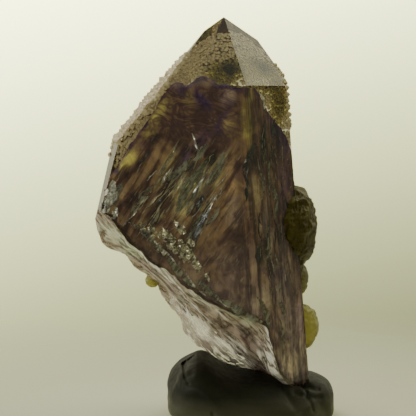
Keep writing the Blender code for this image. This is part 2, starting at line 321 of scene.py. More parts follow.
def druse_batches():
    """The small points as a few meshes, in each of which no two points touch."""
    dice = random.Random(7)
    blank = grown_crystal()
    from_break = break_frame().inverted()
    crowd = Crowd(DRUSE_CELL * DRUSE_RADIUS[1] * (1 + SHOULDER_GROWTH))
    batches = {}
    for name in DRUSE_FACES:
        normal = facing(*FACES[name][:2])
        face = max(blank.faces, key=lambda f: f.normal.dot(normal))
        upright = normal.to_track_quat("Z", "Y").to_matrix().to_4x4()
        for _ in range(int(DRUSE_TRIES * face.calc_area() / (MM * MM))):
            point = spot_on(face, dice)
            size = 1 + SHOULDER_GROWTH * math.exp(-(((point - mm(SHOULDER)).length / SHOULDER_REACH) ** 2))
            radius = size * dice.uniform(*DRUSE_RADIUS)
            around = [(other, item) for other, item in crowd.near(point)]
            if any((point - other).length < DRUSE_SPACING * math.sqrt(size) for other, _ in around):
                continue
            if not wears_druse(point, name, from_break):
                continue
            height = size * dice.uniform(*DRUSE_HEIGHT)
            lean = Matrix.Rotation(math.radians(dice.uniform(-DRUSE_LEAN, DRUSE_LEAN)), 4, "X")
            turn = Matrix.Rotation(dice.uniform(0, math.tau), 4, "Z")
            reach = radius + 0.5 * (height + DRUSE_TIP * radius)
            used = {b for other, (b, r) in around if (point - other).length < reach + r}
            batch = next(b for b in range(99) if b not in used)
            crowd.add(point, (batch, reach))
            bm, tops = batches.setdefault(batch, (bmesh.new(), []))
            stand = Matrix.Translation(point + normal * 0.5 * (height - DRUSE_ROOT))
            made = bmesh.ops.create_cone(
                bm,
                cap_ends=True,
                segments=6,
                radius1=radius,
                radius2=DRUSE_TAPER * radius,
                depth=height + DRUSE_ROOT,
                matrix=stand @ upright @ lean @ turn,
            )
            ends = {f for v in made["verts"] for f in v.link_faces if len(f.verts) == 6}
            tops.append((max(ends, key=lambda f: f.calc_center_median().dot(normal)), radius, dice.random()))
    blank.free()
    return [pointed(f"druse_{b}", bm, tops) for b, (bm, tops) in sorted(batches.items())]


def pointed(name, bm, tops):
    """Gives every column of a batch its six-sided tip, a little off its middle, as quartz has."""
    ways = [(f.normal.copy(), (f.verts[0].co - f.calc_center_median()).copy(), r, u) for f, r, u in tops]
    tips = bmesh.ops.poke(bm, faces=[f for f, _, _ in tops])["verts"]
    for tip, (normal, aside, radius, share) in zip(tips, ways):
        tip.co += normal * radius * DRUSE_TIP + aside * DRUSE_SKEW * (share - 0.3)
    return object_of(name, bm)


# Clear quartz lets light through with only a pale smoky olive tint. The druse is rougher and beige, and the
# broken faces are a little frosted, but all of it is the same stone.
QUARTZ_IOR = 1.544
CLEAR, FROSTED = (0.97, 0.97, 0.90), (0.90, 0.88, 0.80)
BEIGE, BEIGE_DARK = (0.73, 0.64, 0.42), (0.58, 0.47, 0.29)
FACE_ROUGHNESS, CRUST_ROUGHNESS, CRUST_CLEARNESS = 0.012, 0.5, 0.35
SMOKE_COLOUR, SMOKE_DENSITY = (0.72, 0.68, 0.40), 40.0
CRUST_FROM, FLAT_WITHIN, BROKEN_WITHIN = 0.03 * MM, 0.002 * MM, 0.12 * MM  # how the faces are told apart


def new_finish(name):
    finish = bpy.data.materials.new(name)
    finish.use_nodes = True
    return finish, finish.node_tree


def add(tree, kind, values=(), links=(), **settings):
    """A new node with its settings, its unlinked values and what its inputs are linked to."""
    made = tree.nodes.new(kind)
    for name, value in settings.items():
        setattr(made, name, value)
    for name, value in dict(values).items():
        made.inputs[name].default_value = value
    for name, source in dict(links).items():
        tree.links.new(source, made.inputs[name])
    return made


def fill(tree, socket, value):
    """Links an input to a socket, or gives it a plain value."""
    if isinstance(value, bpy.types.NodeSocket):
        tree.links.new(value, socket)
    else:
        socket.default_value = value


def feed(tree, inputs):
    """Fills the inputs of the finish itself, by their names."""
    for name, value in inputs.items():
        fill(tree, tree.nodes["Principled BSDF"].inputs[name], value)


def calc(tree, operation, *terms):
    """A number worked out from others; each may be a socket or a plain value."""
    made = add(tree, "ShaderNodeMath", operation=operation)
    for socket, term in zip(made.inputs, terms):
        fill(tree, socket, term)
    return made.outputs[0]


def mix(tree, factor, one, two, mode="MIX"):
    """One colour into another; each may be a socket or a plain value."""
    made = tree.nodes.new("ShaderNodeMix")
    made.data_type = "RGBA"
    made.blend_type = mode
    for socket, value in zip((made.inputs[0], made.inputs[6], made.inputs[7]), (factor, one, two)):
        fill(tree, socket, (*value, 1.0) if isinstance(value, (tuple, list)) else value)
    return made.outputs[2]


def spread(tree, source, low, high, to_low=0.0, to_high=1.0):
    """Maps the range low to high of a value onto another range, and holds it there."""
    values = {"From Min": low, "From Max": high, "To Min": to_low, "To Max": to_high}
    return add(tree, "ShaderNodeMapRange", values, {"Value": source}).outputs["Result"]


def grain(tree, pitch, detail=4.0, stretch=(1, 1, 1), turn=(0, 0, 0), distortion=0.0):
    """Noise with features about pitch mm wide, drawn out and leaned over as a grain in the stone is."""
    place = add(tree, "ShaderNodeTexCoord").outputs["Object"]
    scale = [1 / s for s in stretch]
    turned = add(tree, "ShaderNodeMapping", {"Rotation": [-math.radians(a) for a in turn]}, {"Vector": place})
    mapped = add(tree, "ShaderNodeMapping", {"Scale": scale}, {"Vector": turned.outputs[0]})
    values = {"Scale": 1 / (pitch * MM), "Detail": detail, "Distortion": distortion, "Roughness": 0.6}
    return add(tree, "ShaderNodeTexNoise", values, {"Vector": mapped.outputs[0]}).outputs["Fac"]


def attribute(tree, name, output="Fac"):
    return add(tree, "ShaderNodeAttribute", attribute_name=name).outputs[output]


def position(tree, axis):
    """How far a point lies along an axis."""
    place = add(tree, "ShaderNodeTexCoord").outputs["Object"]
    return add(tree, "ShaderNodeSeparateXYZ", links={0: place}).outputs[axis]


def absorb(tree, colour, density):
    """Colours the light by how far it travels inside the stone."""
    inside = add(tree, "ShaderNodeVolumeAbsorption", {"Color": (*colour, 1.0), "Density": density})
    tree.links.new(inside.outputs[0], tree.nodes["Material Output"].inputs["Volume"])


def bump(tree, height, distance):
    made = add(tree, "ShaderNodeBump", {"Distance": distance * MM}, {"Height": height})
    feed(tree, {"Normal": made.outputs[0]})


def quartz_finish():
    finish, tree = new_finish("quartz")
    crust, broken = attribute(tree, "crust"), attribute(tree, "broken")
    beige = mix(tree, spread(tree, grain(tree, 1.6), 0.35, 0.65), BEIGE_DARK, BEIGE)
    frost = spread(tree, grain(tree, 2.2, stretch=(1, 1, 2)), 0.42, 0.7, 0.03, 0.2)
    bare = mix(tree, broken, (FACE_ROUGHNESS,) * 3, frost)
    inputs = {
        "Base Color": mix(tree, crust, mix(tree, broken, CLEAR, FROSTED), beige),
        "Roughness": mix(tree, crust, bare, (CRUST_ROUGHNESS,) * 3),
        "IOR": QUARTZ_IOR,
        "Transmission Weight": mix(tree, crust, (1.0,) * 3, (CRUST_CLEARNESS,) * 3),
    }
    feed(tree, inputs)
    absorb(tree, SMOKE_COLOUR, SMOKE_DENSITY)
    bump(tree, grain(tree, 0.5, stretch=(9, 9, 1), detail=3), 0.004)
    return finish


def mark_faces(mesh):
    """Notes which faces are crust and which are broken, from where they lie."""
    planes = [(facing(turn, tilt), distance * MM) for turn, tilt, distance in FACES.values()]
    from_break = break_frame().inverted()
    crust = mesh.attributes.new("crust", "FLOAT", "FACE")
    broken = mesh.attributes.new("broken", "FLOAT", "FACE")
    for face in mesh.polygons:
        outside = max(normal.dot(face.center - MIDDLE) - distance for normal, distance in planes)
        crust.data[face.index].value = 1.0 if outside > CRUST_FROM else 0.0
        at = from_break @ face.center
        if abs(outside) > FLAT_WITHIN and abs(at.z - break_height(at.x, at.y)) < BROKEN_WITHIN:
            broken.data[face.index].value = 1.0


crystal = object_of("crystal_body", grown_crystal())
combine(crystal, [break_block("crystal_break")], "DIFFERENCE")
combine(crystal, druse_batches(), "UNION")
mark_faces(crystal.data)
dress(crystal, quartz_finish(), FACE_EDGE)
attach(crystal, "root")
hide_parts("crystal")

# The phantom: an earlier crystal that shows inside the clear one, close under its front faces. It is violet,
# brown and olive in zones, full of growth layers, and its ragged top is dark violet. Some light passes it.
PHANTOM_DEPTH, PHANTOM_SIDE, PHANTOM_BREAK = -0.5 * MM, -0.15 * MM, -0.7 * MM
PHANTOM_DEEPER = {
    "prism_back": -2.0 * MM,
    "prism_back_left": -2.0 * MM,
    "tip_back_left": -2.0 * MM,
    "prism_left": PHANTOM_SIDE,
    "prism_right_back": PHANTOM_SIDE,
    "tip_left": PHANTOM_SIDE,
    "foot": PHANTOM_SIDE,
}
PHANTOM_TOP_SLOPE = 0.6  # the top falls away from the front faces to the back
LID_WIDTH, LID_DEPTH, LID_TOP, LID_STEPS, LID_ROWS = 50, 44, 100, 150, 60  # the block that cuts it off, in mm
CLEAR_FOOT = ((-4.6, 1.0, 11.6), (9.5, 16.0, 2.7), 42)  # above the putty at the left: middle, radii and lean
PHANTOM_TOP = (  # x and height in mm, from left to right
    (-24.6, 42.0), (-23.2, 43.0), (-22.2, 43.0), (-21.2, 45.0), (-19.5, 47.8), (-17.4, 50.8),
    (-15.8, 53.2), (-14.6, 55.0), (-13.6, 56.4), (-12.4, 57.4), (-11.4, 57.3), (-10.8, 56.6),
    (-9.8, 57.2), (-8.6, 58.1), (-7.5, 58.3), (-6.3, 57.7), (-5.3, 56.7), (-4.2, 57.0),
    (-3.1, 56.5), (-1.5, 56.4), (0.0, 56.6), (1.0, 55.8), (1.7, 53.6), (2.7, 52.0),
    (4.1, 50.7), (5.5, 48.7), (6.6, 46.0),
)
PHANTOM_RAGGED, PHANTOM_RAGGED_PITCH = 0.35 * MM, 1.2 * MM
PHANTOM_GRAIN, PHANTOM_WAVES, PHANTOM_WAVE_PITCH = 0.36 * MM, 0.25 * MM, 1.7 * MM
VIOLET, UMBER, RUST, OCHRE = (0.11, 0.055, 0.18), (0.24, 0.16, 0.12), (0.36, 0.245, 0.19), (0.50, 0.42, 0.23)
OLIVE, STONE, MAUVE, LILAC = (0.62, 0.58, 0.22), (0.66, 0.63, 0.40), (0.34, 0.265, 0.25), (0.66, 0.58, 0.59)
PALE, INK, GLINT = (0.82, 0.77, 0.70), (0.055, 0.06, 0.045), (0.66, 0.65, 0.50)
PHANTOM_ZONE_DEPTH = 30.0  # the zones run right through it
PHANTOM_ZONES = (  # middle, half width and half height in mm, lean in degrees, colour and strength
    (-15.4, -5.1, 51.7, 1.3, 3.8, 30, OLIVE, 1.0),
    (-20.8, -3.5, 44.3, 1.0, 2.5, 26, OLIVE, 0.9),
    (-16.8, -4.7, 46.0, 2.6, 1.5, 30, RUST, 0.5),
    (-10.4, -6.6, 54.8, 2.0, 1.0, 60, OLIVE, 0.45),
    (-8.0, -7.5, 54.1, 1.5, 1.0, 45, VIOLET, 1.0),
    (-11.1, -6.4, 55.8, 1.5, 0.7, 70, VIOLET, 0.8),
    (-4.9, -8.5, 50.7, 0.8, 2.8, 30, VIOLET, 0.8),
    (-3.7, -8.8, 54.9, 1.2, 1.3, 10, LILAC, 0.4),
    (-3.6, -9.0, 50.1, 1.5, 1.5, 10, OCHRE, 0.8),
    (-4.5, -8.7, 46.8, 2.1, 1.5, 0, RUST, 0.8),
    (-10.1, -6.8, 50.0, 2.8, 1.8, 0, UMBER, 0.9),
    (-8.1, -7.5, 47.4, 1.3, 2.0, 30, VIOLET, 0.6),
    (-12.1, -6.3, 43.6, 1.2, 3.3, 38, VIOLET, 0.8),
    (-18.5, -4.3, 42.0, 2.5, 1.5, 40, UMBER, 0.8),
    (-21.5, -3.3, 39.0, 1.3, 2.0, 20, RUST, 0.6),
    (-8.9, -7.4, 40.8, 2.5, 4.4, 36, STONE, 1.0),
    (-11.8, -6.5, 36.8, 1.8, 1.7, 45, STONE, 0.9),
    (-4.9, -8.7, 44.2, 1.2, 2.1, 10, STONE, 0.6),
    (-6.3, -8.2, 44.8, 0.5, 1.2, 20, INK, 0.8),
    (-14.1, -5.7, 42.4, 0.7, 3.6, 34, OCHRE, 0.9),
    (-19.3, -4.1, 35.7, 2.0, 1.7, 45, UMBER, 0.8),
    (-16.8, -5.0, 33.4, 2.5, 1.3, 60, OCHRE, 0.5),
    (-9.8, -7.3, 31.9, 1.2, 3.3, 25, INK, 0.6),
    (-3.2, -9.2, 41.3, 1.2, 4.0, 0, RUST, 0.8),
    (-2.9, -9.5, 35.4, 1.7, 3.3, 0, MAUVE, 0.8),
    (-1.9, -9.9, 26.9, 4.0, 4.0, 0, MAUVE, 0.8),
    (-6.5, -8.5, 26.4, 2.0, 1.3, 50, UMBER, 0.6),
    (-0.6, -9.5, 51.7, 0.8, 5.0, 0, OLIVE, 1.0),
    (1.0, -8.1, 50.7, 0.7, 4.3, -4, UMBER, 0.9),
    (2.1, -7.4, 47.4, 0.7, 4.0, -8, INK, 0.6),
    (3.4, -6.0, 49.4, 0.8, 2.5, -12, VIOLET, 0.6),
    (5.0, -4.7, 48.0, 1.0, 3.3, -8, VIOLET, 1.0),
    (-0.3, -9.7, 44.5, 0.7, 2.5, 8, INK, 0.7),
    (2.6, -7.4, 40.2, 1.7, 4.0, 0, RUST, 0.4),
    (5.5, -4.9, 39.4, 1.0, 5.6, -3, VIOLET, 0.6),
    (0.2, -9.7, 39.0, 1.0, 3.0, 0, STONE, 0.5),
    (1.2, -9.5, 28.8, 0.7, 1.7, 0, INK, 0.8),
    (2.4, -8.1, 33.0, 0.8, 4.6, -6, PALE, 0.6),
    (5.5, -5.6, 29.1, 1.2, 5.6, -4, LILAC, 0.5),
    (5.2, -6.3, 23.2, 1.7, 4.3, -4, LILAC, 0.85),
    (1.5, -9.7, 21.3, 1.7, 2.1, 0, PALE, 0.45),
    (6.4, -5.5, 16.7, 2.2, 4.6, 0, LILAC, 1.0),
    (7.0, -5.3, 10.9, 2.4, 3.6, 0, PALE, 1.0),
)
ZONE_REACH = 1.9  # where a zone ends, in radii
ZONE_SWIRLS = ((4.0, 1.1), (1.3, 0.35))  # pitch and reach in mm
noise.seed_set(4)  # keeps the swirls the same in every run
TOP_BAND = 1.3 * MM  # how far the violet reaches down from the ragged top
MAUVE_START, MAUVE_REACH = 33 * MM, 12 * MM  # the foot turns mauve below this height
DIAGONAL, UPRIGHT = 35, -5  # lean of the growth grain from upright, on the left and on the right
GRAIN_TONES = {  # where the grain is dark, middling and light, and what it does to the colour there
    "lower": ((0.4, 0.5, 0.6), (0.6, 0.55, 0.58), (1.0, 0.95, 0.94), (1.45, 1.42, 1.38)),
    "upper": ((0.1, 0.5, 0.9), (0.62, 0.48, 0.80), (1.0, 0.92, 0.98), (1.5, 1.42, 1.36)),
    "left": ((0.42, 0.5, 0.58), (0.42, 0.33, 0.44), (0.98, 0.91, 0.84), (2.1, 2.15, 1.8)),
    "right": ((0.41, 0.5, 0.59), (0.38, 0.34, 0.40), (0.96, 0.87, 0.86), (1.75, 1.68, 1.6)),
}
CLOUD_DARK, CLOUD_LIGHT = (0.66, 0.58, 0.70), (1.34, 1.32, 1.12)


def between(x, points):
    """The height at x of a line through points, both in mm."""
    x = min(max(x / MM, points[0][0]), points[-1][0])
    for (x0, z0), (x1, z1) in zip(points, points[1:]):
        if x <= x1:
            return (z0 + (z1 - z0) * (x - x0) / (x1 - x0)) * MM
    return points[-1][1] * MM


def under_front(x, z, depth):
    """The point behind the front faces at x and z, this deep in the stone."""
    deepest = -1.0
    for name, (turn, tilt, distance) in FACES.items():
        if "front" in name:
            n = facing(turn, tilt)
            y = (n.x * (x - MIDDLE.x) + n.z * (z - MIDDLE.z) - distance * MM + depth) / -n.y
            deepest = max(deepest, y)
    return Vector((x, deepest, z))


def phantom_top(x, y):
    rough = sum(noise.noise(Vector((x, y, 9.0 * i)) * 2**i / PHANTOM_RAGGED_PITCH) / 1.6**i for i in range(4))
    height = between(x, PHANTOM_TOP)
    back = max(0.0, y - under_front(x, height, -PHANTOM_DEPTH).y)
    return height + PHANTOM_RAGGED * rough - PHANTOM_TOP_SLOPE * back


def above_phantom():
    """A block over the phantom's ragged top."""
    bm = bmesh.new()
    bmesh.ops.create_grid(bm, x_segments=LID_STEPS, y_segments=LID_ROWS, size=0.5)
    for v in bm.verts:
        v.co.x = MIDDLE.x + v.co.x * LID_WIDTH * MM
        v.co.y = v.co.y * LID_DEPTH * MM
        v.co.z = phantom_top(v.co.x, v.co.y)
    raise_block(bm, LID_TOP * MM)
    bmesh.ops.recalc_face_normals(bm, faces=bm.faces)
    return object_of("above_phantom", bm)


def clear_foot():
    """The part of the foot that the phantom leaves clear."""
    middle, radii, lean = CLEAR_FOOT
    lay = Matrix.LocRotScale(mm(middle), Matrix.Rotation(math.radians(lean), 3, "Y"), mm(radii))
    bm = bmesh.new()
    bmesh.ops.create_icosphere(bm, subdivisions=5, radius=1.0, matrix=lay)
    return object_of("clear_foot", bm)


def zoned(tone, point, zones, depth):
    """A colour at a point, with every zone that reaches it laid over it in turn; zones swirl a little."""
    swirls = [noise.noise_vector(point / (pitch * MM)) * reach * MM for pitch, reach in ZONE_SWIRLS]
    swirl = sum(swirls, Vector())
    for x, y, z, half_width, half_height, lean, colour, strength in zones:
        apart = point + swirl - mm((x, y, z))
        if apart.xz.length > ZONE_REACH * max(half_width, half_height) * MM:
            continue
        apart = Matrix.Rotation(-math.radians(lean), 3, "Y") @ apart
        far = sum((a / (r * MM)) ** 2 for a, r in zip(apart, (half_width, depth, half_height)))
        tone = tone.lerp(Vector(colour), strength * math.exp(-far * far))
    return tone


def phantom_tone(point):
    """The stone's own colour at a point: umber above, mauve towards the foot, with its zones over that."""
    tone = Vector(UMBER).lerp(Vector(MAUVE), ramp((MAUVE_START - point.z) / MAUVE_REACH))
    tone = zoned(tone, point, PHANTOM_ZONES, PHANTOM_ZONE_DEPTH)
    depth = between(point.x, PHANTOM_TOP) - point.z + 0.8 * MM * noise.noise(point / (1.2 * MM))
    return tone.lerp(Vector(VIOLET), 0.9 * (1 - ramp(depth / TOP_BAND)))


def layers(tree, source, step):
    """Thin layers: rises from 0 to 1 and falls again with every step of a smooth value."""
    return spread(tree, calc(tree, "PINGPONG", source, step), 0, step)


def banded(tree, source, places, dark, middle, light):
    """Three colours in turn, at three places along a value."""
    low, mid, high = places
    first = mix(tree, spread(tree, source, low, mid), dark, middle)
    return mix(tree, spread(tree, source, mid, high), first, light)


def phantom_finish():
    finish, tree = new_finish("phantom")
    side = spread(tree, position(tree, "X"), -3 * MM, -0.5 * MM)
    height = position(tree, "Z")
    high, low = spread(tree, height, 45 * MM, 50 * MM), spread(tree, height, 33 * MM, 29 * MM)
    folds = grain(tree, 4.6, 3, stretch=(1, 1, 0.6), turn=(0, 20, 0), distortion=1.4)
    grains = {
        "left": grain(tree, 1.5, 4, stretch=(1, 1, 12), turn=(0, DIAGONAL, 0), distortion=0.25),
        "right": grain(tree, 1.2, 4, stretch=(1, 1, 10), turn=(0, UPRIGHT, 0), distortion=0.3),
        "upper": layers(tree, folds, 0.13),
        "lower": grain(tree, 2.6, 5, stretch=(1, 1, 1.6), turn=(0, 30, 0), distortion=1.0),
    }
    shades = {part: banded(tree, source, *GRAIN_TONES[part]) for part, source in grains.items()}
    shade = mix(tree, low, mix(tree, high, shades["left"], shades["upper"]), shades["lower"])
    shade = mix(tree, side, shade, shades["right"])
    hair = grain(tree, 0.4, 3, stretch=(1, 1, 12), turn=(0, DIAGONAL, 0), distortion=0.3)
    glint = spread(tree, hair, 0.62, 0.72, 0.0, 0.6)
    clouds = spread(tree, grain(tree, 3.2, 4, distortion=1.0), 0.38, 0.62)
    cloudy = mix(tree, clouds, CLOUD_DARK, CLOUD_LIGHT)
    stone = mix(tree, 1.0, attribute(tree, "tone", "Color"), shade, "MULTIPLY")
    stone = mix(tree, 1.0, stone, cloudy, "MULTIPLY")
    shine = calc(tree, "MULTIPLY", glint, calc(tree, "SUBTRACT", 1.0, high))
    colour = mix(tree, shine, stone, GLINT)
    feed(tree, {"Base Color": colour, "IOR": 1.0, "Roughness": 0.0, "Transmission Weight": 0.3})
    return finish


phantom = object_of("phantom", grown_crystal(PHANTOM_DEPTH, PHANTOM_DEEPER))
combine(phantom, [break_block("phantom_break", PHANTOM_BREAK), above_phantom(), clear_foot()], "DIFFERENCE")
step = phantom.modifiers.new("even_mesh", "REMESH")
step.mode = "VOXEL"
step.voxel_size = PHANTOM_GRAIN
combine(phantom, [], "UNION")
normals = [v.normal.copy() for v in phantom.data.vertices]
for v, normal in zip(phantom.data.vertices, normals):
    v.co += normal * PHANTOM_WAVES * noise.noise(v.co / PHANTOM_WAVE_PITCH)
tones = phantom.data.attributes.new("tone", "FLOAT_COLOR", "POINT")
for v in phantom.data.vertices:
    tones.data[v.index].color = (*phantom_tone(v.co), 1.0)
dress(phantom, phantom_finish())
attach(phantom, "root")

# Parts of the clear quartz are tinted olive, softly: above the phantom's top, behind it, and beside it at the
# right and at the left. Each is a cloud of colour in the stone, denser inside: its middle and radii in mm.
OLIVE_CLOUDS = (
    ((-4.6, -3.5, 57.4), (3.5, 4.0, 2.8)),
    ((-3.2, -3.5, 58.2), (2.0, 1.8, 2.2)),
    ((-1.6, 5.8, 56.8), (3.4, 2.3, 2.8)),
    ((3.4, -1.0, 54.0), (1.9, 4.5, 4.6)),
    ((2.4, -2.0, 58.8), (3.2, 2.6, 2.2)),
    ((-23.8, 0.0, 44.0), (1.6, 5.0, 3.4)),
)
CLOUD_SHARES = (1.0, 0.75, 0.5)
CLOUD_RAGGED, CLOUD_PITCH, CLOUD_INSET = 0.3, 2 * MM, -0.1 * MM
OLIVE_DEEP, OLIVE_DENSITY = (0.68, 0.64, 0.24), 230.0

olive_finish, tree = new_finish("olive_tint")
feed(tree, {"Base Color": (1, 1, 1, 1), "IOR": 1.0, "Roughness": 0.0, "Transmission Weight": 1.0})
absorb(tree, OLIVE_DEEP, OLIVE_DENSITY)
for share in CLOUD_SHARES:
    parts = []
    for middle, radii in OLIVE_CLOUDS:
        bm = bmesh.new()
        lay = Matrix.LocRotScale(mm(middle), None, mm(radii) * share)
        bmesh.ops.create_icosphere(bm, subdivisions=5, radius=1.0, matrix=lay)
        for v in bm.verts:
            v.co += (v.co - mm(middle)) * CLOUD_RAGGED * noise.noise(v.co / CLOUD_PITCH)
        parts.append(object_of("cloud", bm))
    cloud, *more = parts
    combine(cloud, more, "UNION")
    combine(cloud, [object_of("cloud_room", grown_crystal(CLOUD_INSET))], "INTERSECT")
    cloud.name = f"olive_cloud_{round(100 * share)}"
    dress(cloud, olive_finish)
    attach(cloud, "root")

# Healed cracks: thin curved films inside the stone, most of them along its slanting grain. Some shine like
# silver or dull gold, some are dark green slivers, and some are a grey veil. Each is x and height of its
# upper and of its lower end, its width and its depth under the front faces, in mm.
SILVER_CRACKS = (
    (-7.6, 41.7, -9.9, 38.0, 0.74, 0.3),
    (-5.3, 39.3, -7.5, 33.6, 0.36, 0.35),
    (-4.5, 40.6, -5.8, 37.5, 0.26, 0.35),
    (-8.9, 37.6, -10.8, 35.0, 0.40, 0.3),
    (-9.8, 48.9, -8.5, 44.6, 0.30, 0.4),
    (0.9, 56.1, 2.2, 52.3, 0.36, 0.35),
    (-6.3, 43.2, -7.6, 40.2, 0.33, 0.35),
    (-13.3, 43.1, -15.1, 40.1, 0.36, 0.3),
    (-16.5, 31.1, -12.1, 26.6, 0.3, 0.3),
    (-11.1, 26.6, -7.5, 22.1, 0.35, 0.3),
    (-6.2, 22.2, -1.9, 19.7, 0.3, 0.3),
)
GOLD_CRACKS = (
    (-11.6, 48.1, -16.1, 39.4, 0.66, 0.3),
    (-9.9, 43.8, -15.1, 36.8, 0.36, 0.3),
    (-14.4, 39.4, -18.1, 35.4, 0.36, 0.3),
    (-16.8, 38.4, -19.5, 35.3, 0.30, 0.35),
    (-12.8, 38.5, -15.4, 34.1, 0.33, 0.3),
    (-10.8, 41.8, -13.1, 38.1, 0.30, 0.3),
)
DARK_CRACKS = (
    (-6.6, 37.6, -10.1, 29.8, 1.32, 0.4),
    (-8.0, 38.9, -9.1, 35.6, 0.66, 0.35),
    (2.2, 51.3, 1.7, 43.2, 0.74, 0.35),
    (3.8, 51.3, 3.4, 46.7, 0.74, 0.4),
    (0.4, 47.3, -1.1, 41.0, 0.91, 0.35),
    (1.4, 30.5, 0.7, 27.8, 0.99, 0.35),
    (-6.2, 45.8, -6.6, 43.5, 0.66, 0.35),
    (-0.8, 41.6, -1.0, 37.7, 0.49, 0.4),
)
VEIL_CRACKS = (
    (-7.0, 44.5, -12.4, 35.5, 2.81, 0.45),
    (-4.5, 45.8, -7.8, 39.6, 1.49, 0.4),
    (-21.5, 40.6, -23.1, 36.6, 1.16, 0.35),
    (-20.5, 34.0, -15.1, 28.8, 1.0, 0.35),
    (-14.1, 28.8, -9.1, 23.4, 1.1, 0.35),
    (-9.1, 24.7, -4.8, 21.2, 1.3, 0.35),
    (-4.8, 21.6, 1.7, 18.0, 1.3, 0.35),
    (0.7, 22.4, 2.7, 16.6, 1.0, 0.35),
)
# Fields of small cracks: lowest and highest x and height, how many, their length and width, and their lean.
CRACK_FIELDS = {
    "silver": (
        (-20.0, -5.0, 34.0, 44.0, 12, 3.5, 0.14, DIAGONAL),
        (1.5, 6.2, 14.0, 33.0, 16, 4.0, 0.09, UPRIGHT),
    ),
    "gold": (
        (-20.0, -6.0, 33.0, 45.0, 20, 4.5, 0.14, DIAGONAL),
        (1.0, 6.6, 20.0, 50.0, 18, 4.0, 0.09, UPRIGHT),
    ),
    "dark": (
        (-18.0, -5.0, 36.0, 48.0, 8, 3.0, 0.25, DIAGONAL),
        (1.0, 6.4, 28.0, 52.0, 10, 3.5, 0.22, UPRIGHT),
    ),
    "veil": (
        (-20.0, -6.0, 33.0, 46.0, 8, 5.0, 0.7, DIAGONAL),
        (1.0, 6.0, 16.0, 48.0, 8, 6.0, 0.4, UPRIGHT),
    ),
}
CRACK_THICKNESS, CRACK_STEPS, CRACK_ROWS = 0.03 * MM, 26, 3
CRACK_WAVES, CRACK_BEND = 0.12 * MM, 0.16
FILM_SHADE, FILM_FADE = 0.35, 0.09


def add_crack(bm, x0, z0, x1, z1, width, depth, seed):
    """One film: a strip that tapers to both ends, waves a little, and tips in or out along its edge."""
    strip = bmesh.ops.create_grid(bm, x_segments=CRACK_STEPS, y_segments=CRACK_ROWS, size=0.5)
    along = Vector((x1 - x0, 0, z1 - z0))
    aside = along.cross(Vector((0, 1, 0))).normalized()
    tip = 0.6 * noise.noise(Vector((seed, 3.3, 0.7)))
    bend = CRACK_BEND * along.length * noise.noise(Vector((seed, 0.5, 8.1)))
    for v in strip["verts"]:
        t, s = v.co.x + 0.5, v.co.y
        taper = 0.06 + 0.94 * math.sin(math.pi * t) ** 0.8
        edge = 1 + 0.6 * noise.noise(Vector((t * 4, round(s), seed)))
        edge += 0.3 * noise.noise(Vector((t * 13, s, seed)))
        flat = Vector((x0, 0, z0)) + along * t + aside * (s * width * taper * edge)
        flat += aside * (bend * math.sin(math.pi * t) + 0.2 * noise.noise(Vector((t * 3, 0, seed))))
        place = under_front(flat.x * MM, flat.z * MM, depth * MM)
        wave = CRACK_WAVES * noise.noise(Vector((t * 4, s * 2, seed)))
        v.co = place + Vector((0, wave + tip * s * width * taper * MM, 0))


def film_finish(name, colour, metallic, roughness, cover):
    """A film that shows in patches: cover is the noise above which it is there."""
    finish, tree = new_finish(name)
    patches = grain(tree, 0.7, 5, stretch=(1, 1, 3), turn=(0, DIAGONAL, 0))
    inputs = {
        "Metallic": metallic,
        "Base Color": mix(tree, spread(tree, patches, 0.4, 0.7), [FILM_SHADE * c for c in colour], colour),
        "Roughness": spread(tree, grain(tree, 0.25, 3), 0.3, 0.7, 0.6 * roughness, 1.5 * roughness),
        "Alpha": spread(tree, patches, cover - FILM_FADE, cover + FILM_FADE),
    }
    feed(tree, inputs)
    return finish


def films_of(name, bm, finish):
    """One object of films, with their thickness."""
    bmesh.ops.solidify(bm, geom=bm.faces[:], thickness=CRACK_THICKNESS)
    bmesh.ops.recalc_face_normals(bm, faces=bm.faces)
    return object_of(name, bm, finish)


FILMS = {
    "silver": (SILVER_CRACKS, film_finish("silver_film", (0.86, 0.86, 0.74), 0.8, 0.3, 0.42)),
    "gold": (GOLD_CRACKS, film_finish("gold_film", (0.70, 0.62, 0.38), 0.7, 0.34, 0.44)),
    "dark": (DARK_CRACKS, film_finish("dark_film", (0.02, 0.03, 0.018), 0.0, 0.2, 0.34)),
    "veil": (VEIL_CRACKS, film_finish("veil_film", (0.42, 0.43, 0.31), 0.2, 0.5, 0.45)),
}
dice = random.Random(21)
for name, (cracks, finish) in FILMS.items():
    bm = bmesh.new()
    for crack in cracks:
        add_crack(bm, *crack, dice.uniform(0, 90))
    for low_x, high_x, low_z, high_z, count, length, width, lean in CRACK_FIELDS.get(name, ()):
        for _ in range(count):
            x, z = dice.uniform(low_x, high_x), dice.uniform(low_z, high_z)
            reach = length * dice.uniform(0.5, 1.4) / 2
            tilt = math.radians(lean + dice.uniform(-7, 7))
            dx, dz = reach * math.sin(tilt), reach * math.cos(tilt)
            depth = dice.uniform(0.2, 0.45)
            wide = width * dice.uniform(0.5, 1.6)
            add_crack(bm, x + dx, z + dz, x - dx, z - dz, wide, depth, dice.uniform(0, 90))
    films = films_of(f"{name}_cracks", bm, finish)
    dress(films, finish, FINE_EDGE)
    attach(films, "root")

